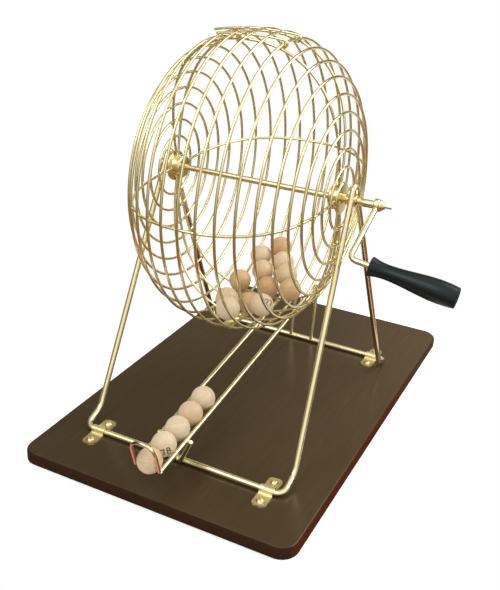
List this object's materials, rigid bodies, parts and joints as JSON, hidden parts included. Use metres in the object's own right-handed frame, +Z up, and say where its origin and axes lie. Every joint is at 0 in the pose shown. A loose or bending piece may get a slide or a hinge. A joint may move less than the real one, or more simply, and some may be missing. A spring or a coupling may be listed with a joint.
{
  "type": "raffle drum",
  "caption": "Wire ball cage on an axle in a bent-rod stand on a wooden board, with a hand crank, a filling door, an exit collar and a sloping ball chute.",
  "frame": {"origin": "on the board's underside, midway between the two sides of the stand and halfway along the board", "axes": "+X along the axle towards the crank, -Y towards the low end of the chute, +Z up"},
  "size_m": [0.3426, 0.4263, 0.3752],
  "materials": {
    "brass": "polished plate",
    "board": "dark satin lacquer",
    "ball": "turned, unfinished",
    "grip": "satin",
    "steel": "bright"
  },
  "bodies": {
    "stand": {"base_board": "board", "support_frame": "brass", "axle_bush_left": "brass", "axle_bush_right": "brass", "frame_straps": "brass", "strap_screws": "brass", "chute_rail_left": "brass", "chute_rail_right": "brass", "chute_stop_arch": "brass", "chute_saddle": "brass", "queue_balls": "ball", "cage_balls": "ball"},
    "drawn_ball": {"drawn_ball": "ball"},
    "drum": {"drum_axle": "brass", "axle_end_collar": "brass", "set_screws": "steel", "hub_left": "brass", "hub_right": "brass", "hub_spacer_left": "brass", "hub_spacer_right": "brass", "cage_rings_left": "brass", "cage_rings_door": "brass", "cage_rings_right": "brass", "exit_collar": "brass", "exit_stays": "brass", "crank_sleeve": "brass", "crank_arm": "brass", "crank_stud": "steel", "crank_nut": "brass", "meridian_front": "brass", "meridian_rear": "brass", "meridian_top_front": "brass", "meridian_top_rear": "brass", "meridian_bottom_rear": "brass", "meridian_bottom_front": "brass"},
    "grip": {"crank_grip": "grip"},
    "door": {"door_side_wires": "brass", "door_cross_wires": "brass"},
    "door_clip": {"door_clip": "brass"}
  },
  "joints": [
    {"name": "drum_spin", "type": "hinge", "parent": "stand", "child": "drum", "pos_m": [0, -0.0204, 0.2376], "axis": [1, 0, 0], "continuous": true},
    {"name": "grip_spin", "type": "hinge", "parent": "drum", "child": "grip", "pos_m": [0.11635, -0.08142, 0.20992], "axis": [0.9904, -0.0019, -0.1382], "continuous": true},
    {"name": "door_hinge", "type": "hinge", "parent": "drum", "child": "door", "pos_m": [0.02868, -0.02667, 0.3682], "axis": [0, 0.9988, 0.048], "range_deg": [0, 100]},
    {"name": "clip_swing", "type": "hinge", "parent": "door", "child": "door_clip", "pos_m": [-0.0092, -0.04049, 0.37181], "axis": [-1, 0, 0], "range_deg": [0, 50]},
    {"name": "ball_roll", "type": "slide", "parent": "stand", "child": "drawn_ball", "axis": [0, 0.9919, 0.1272], "range_m": [0, 0.11]}
  ]
}
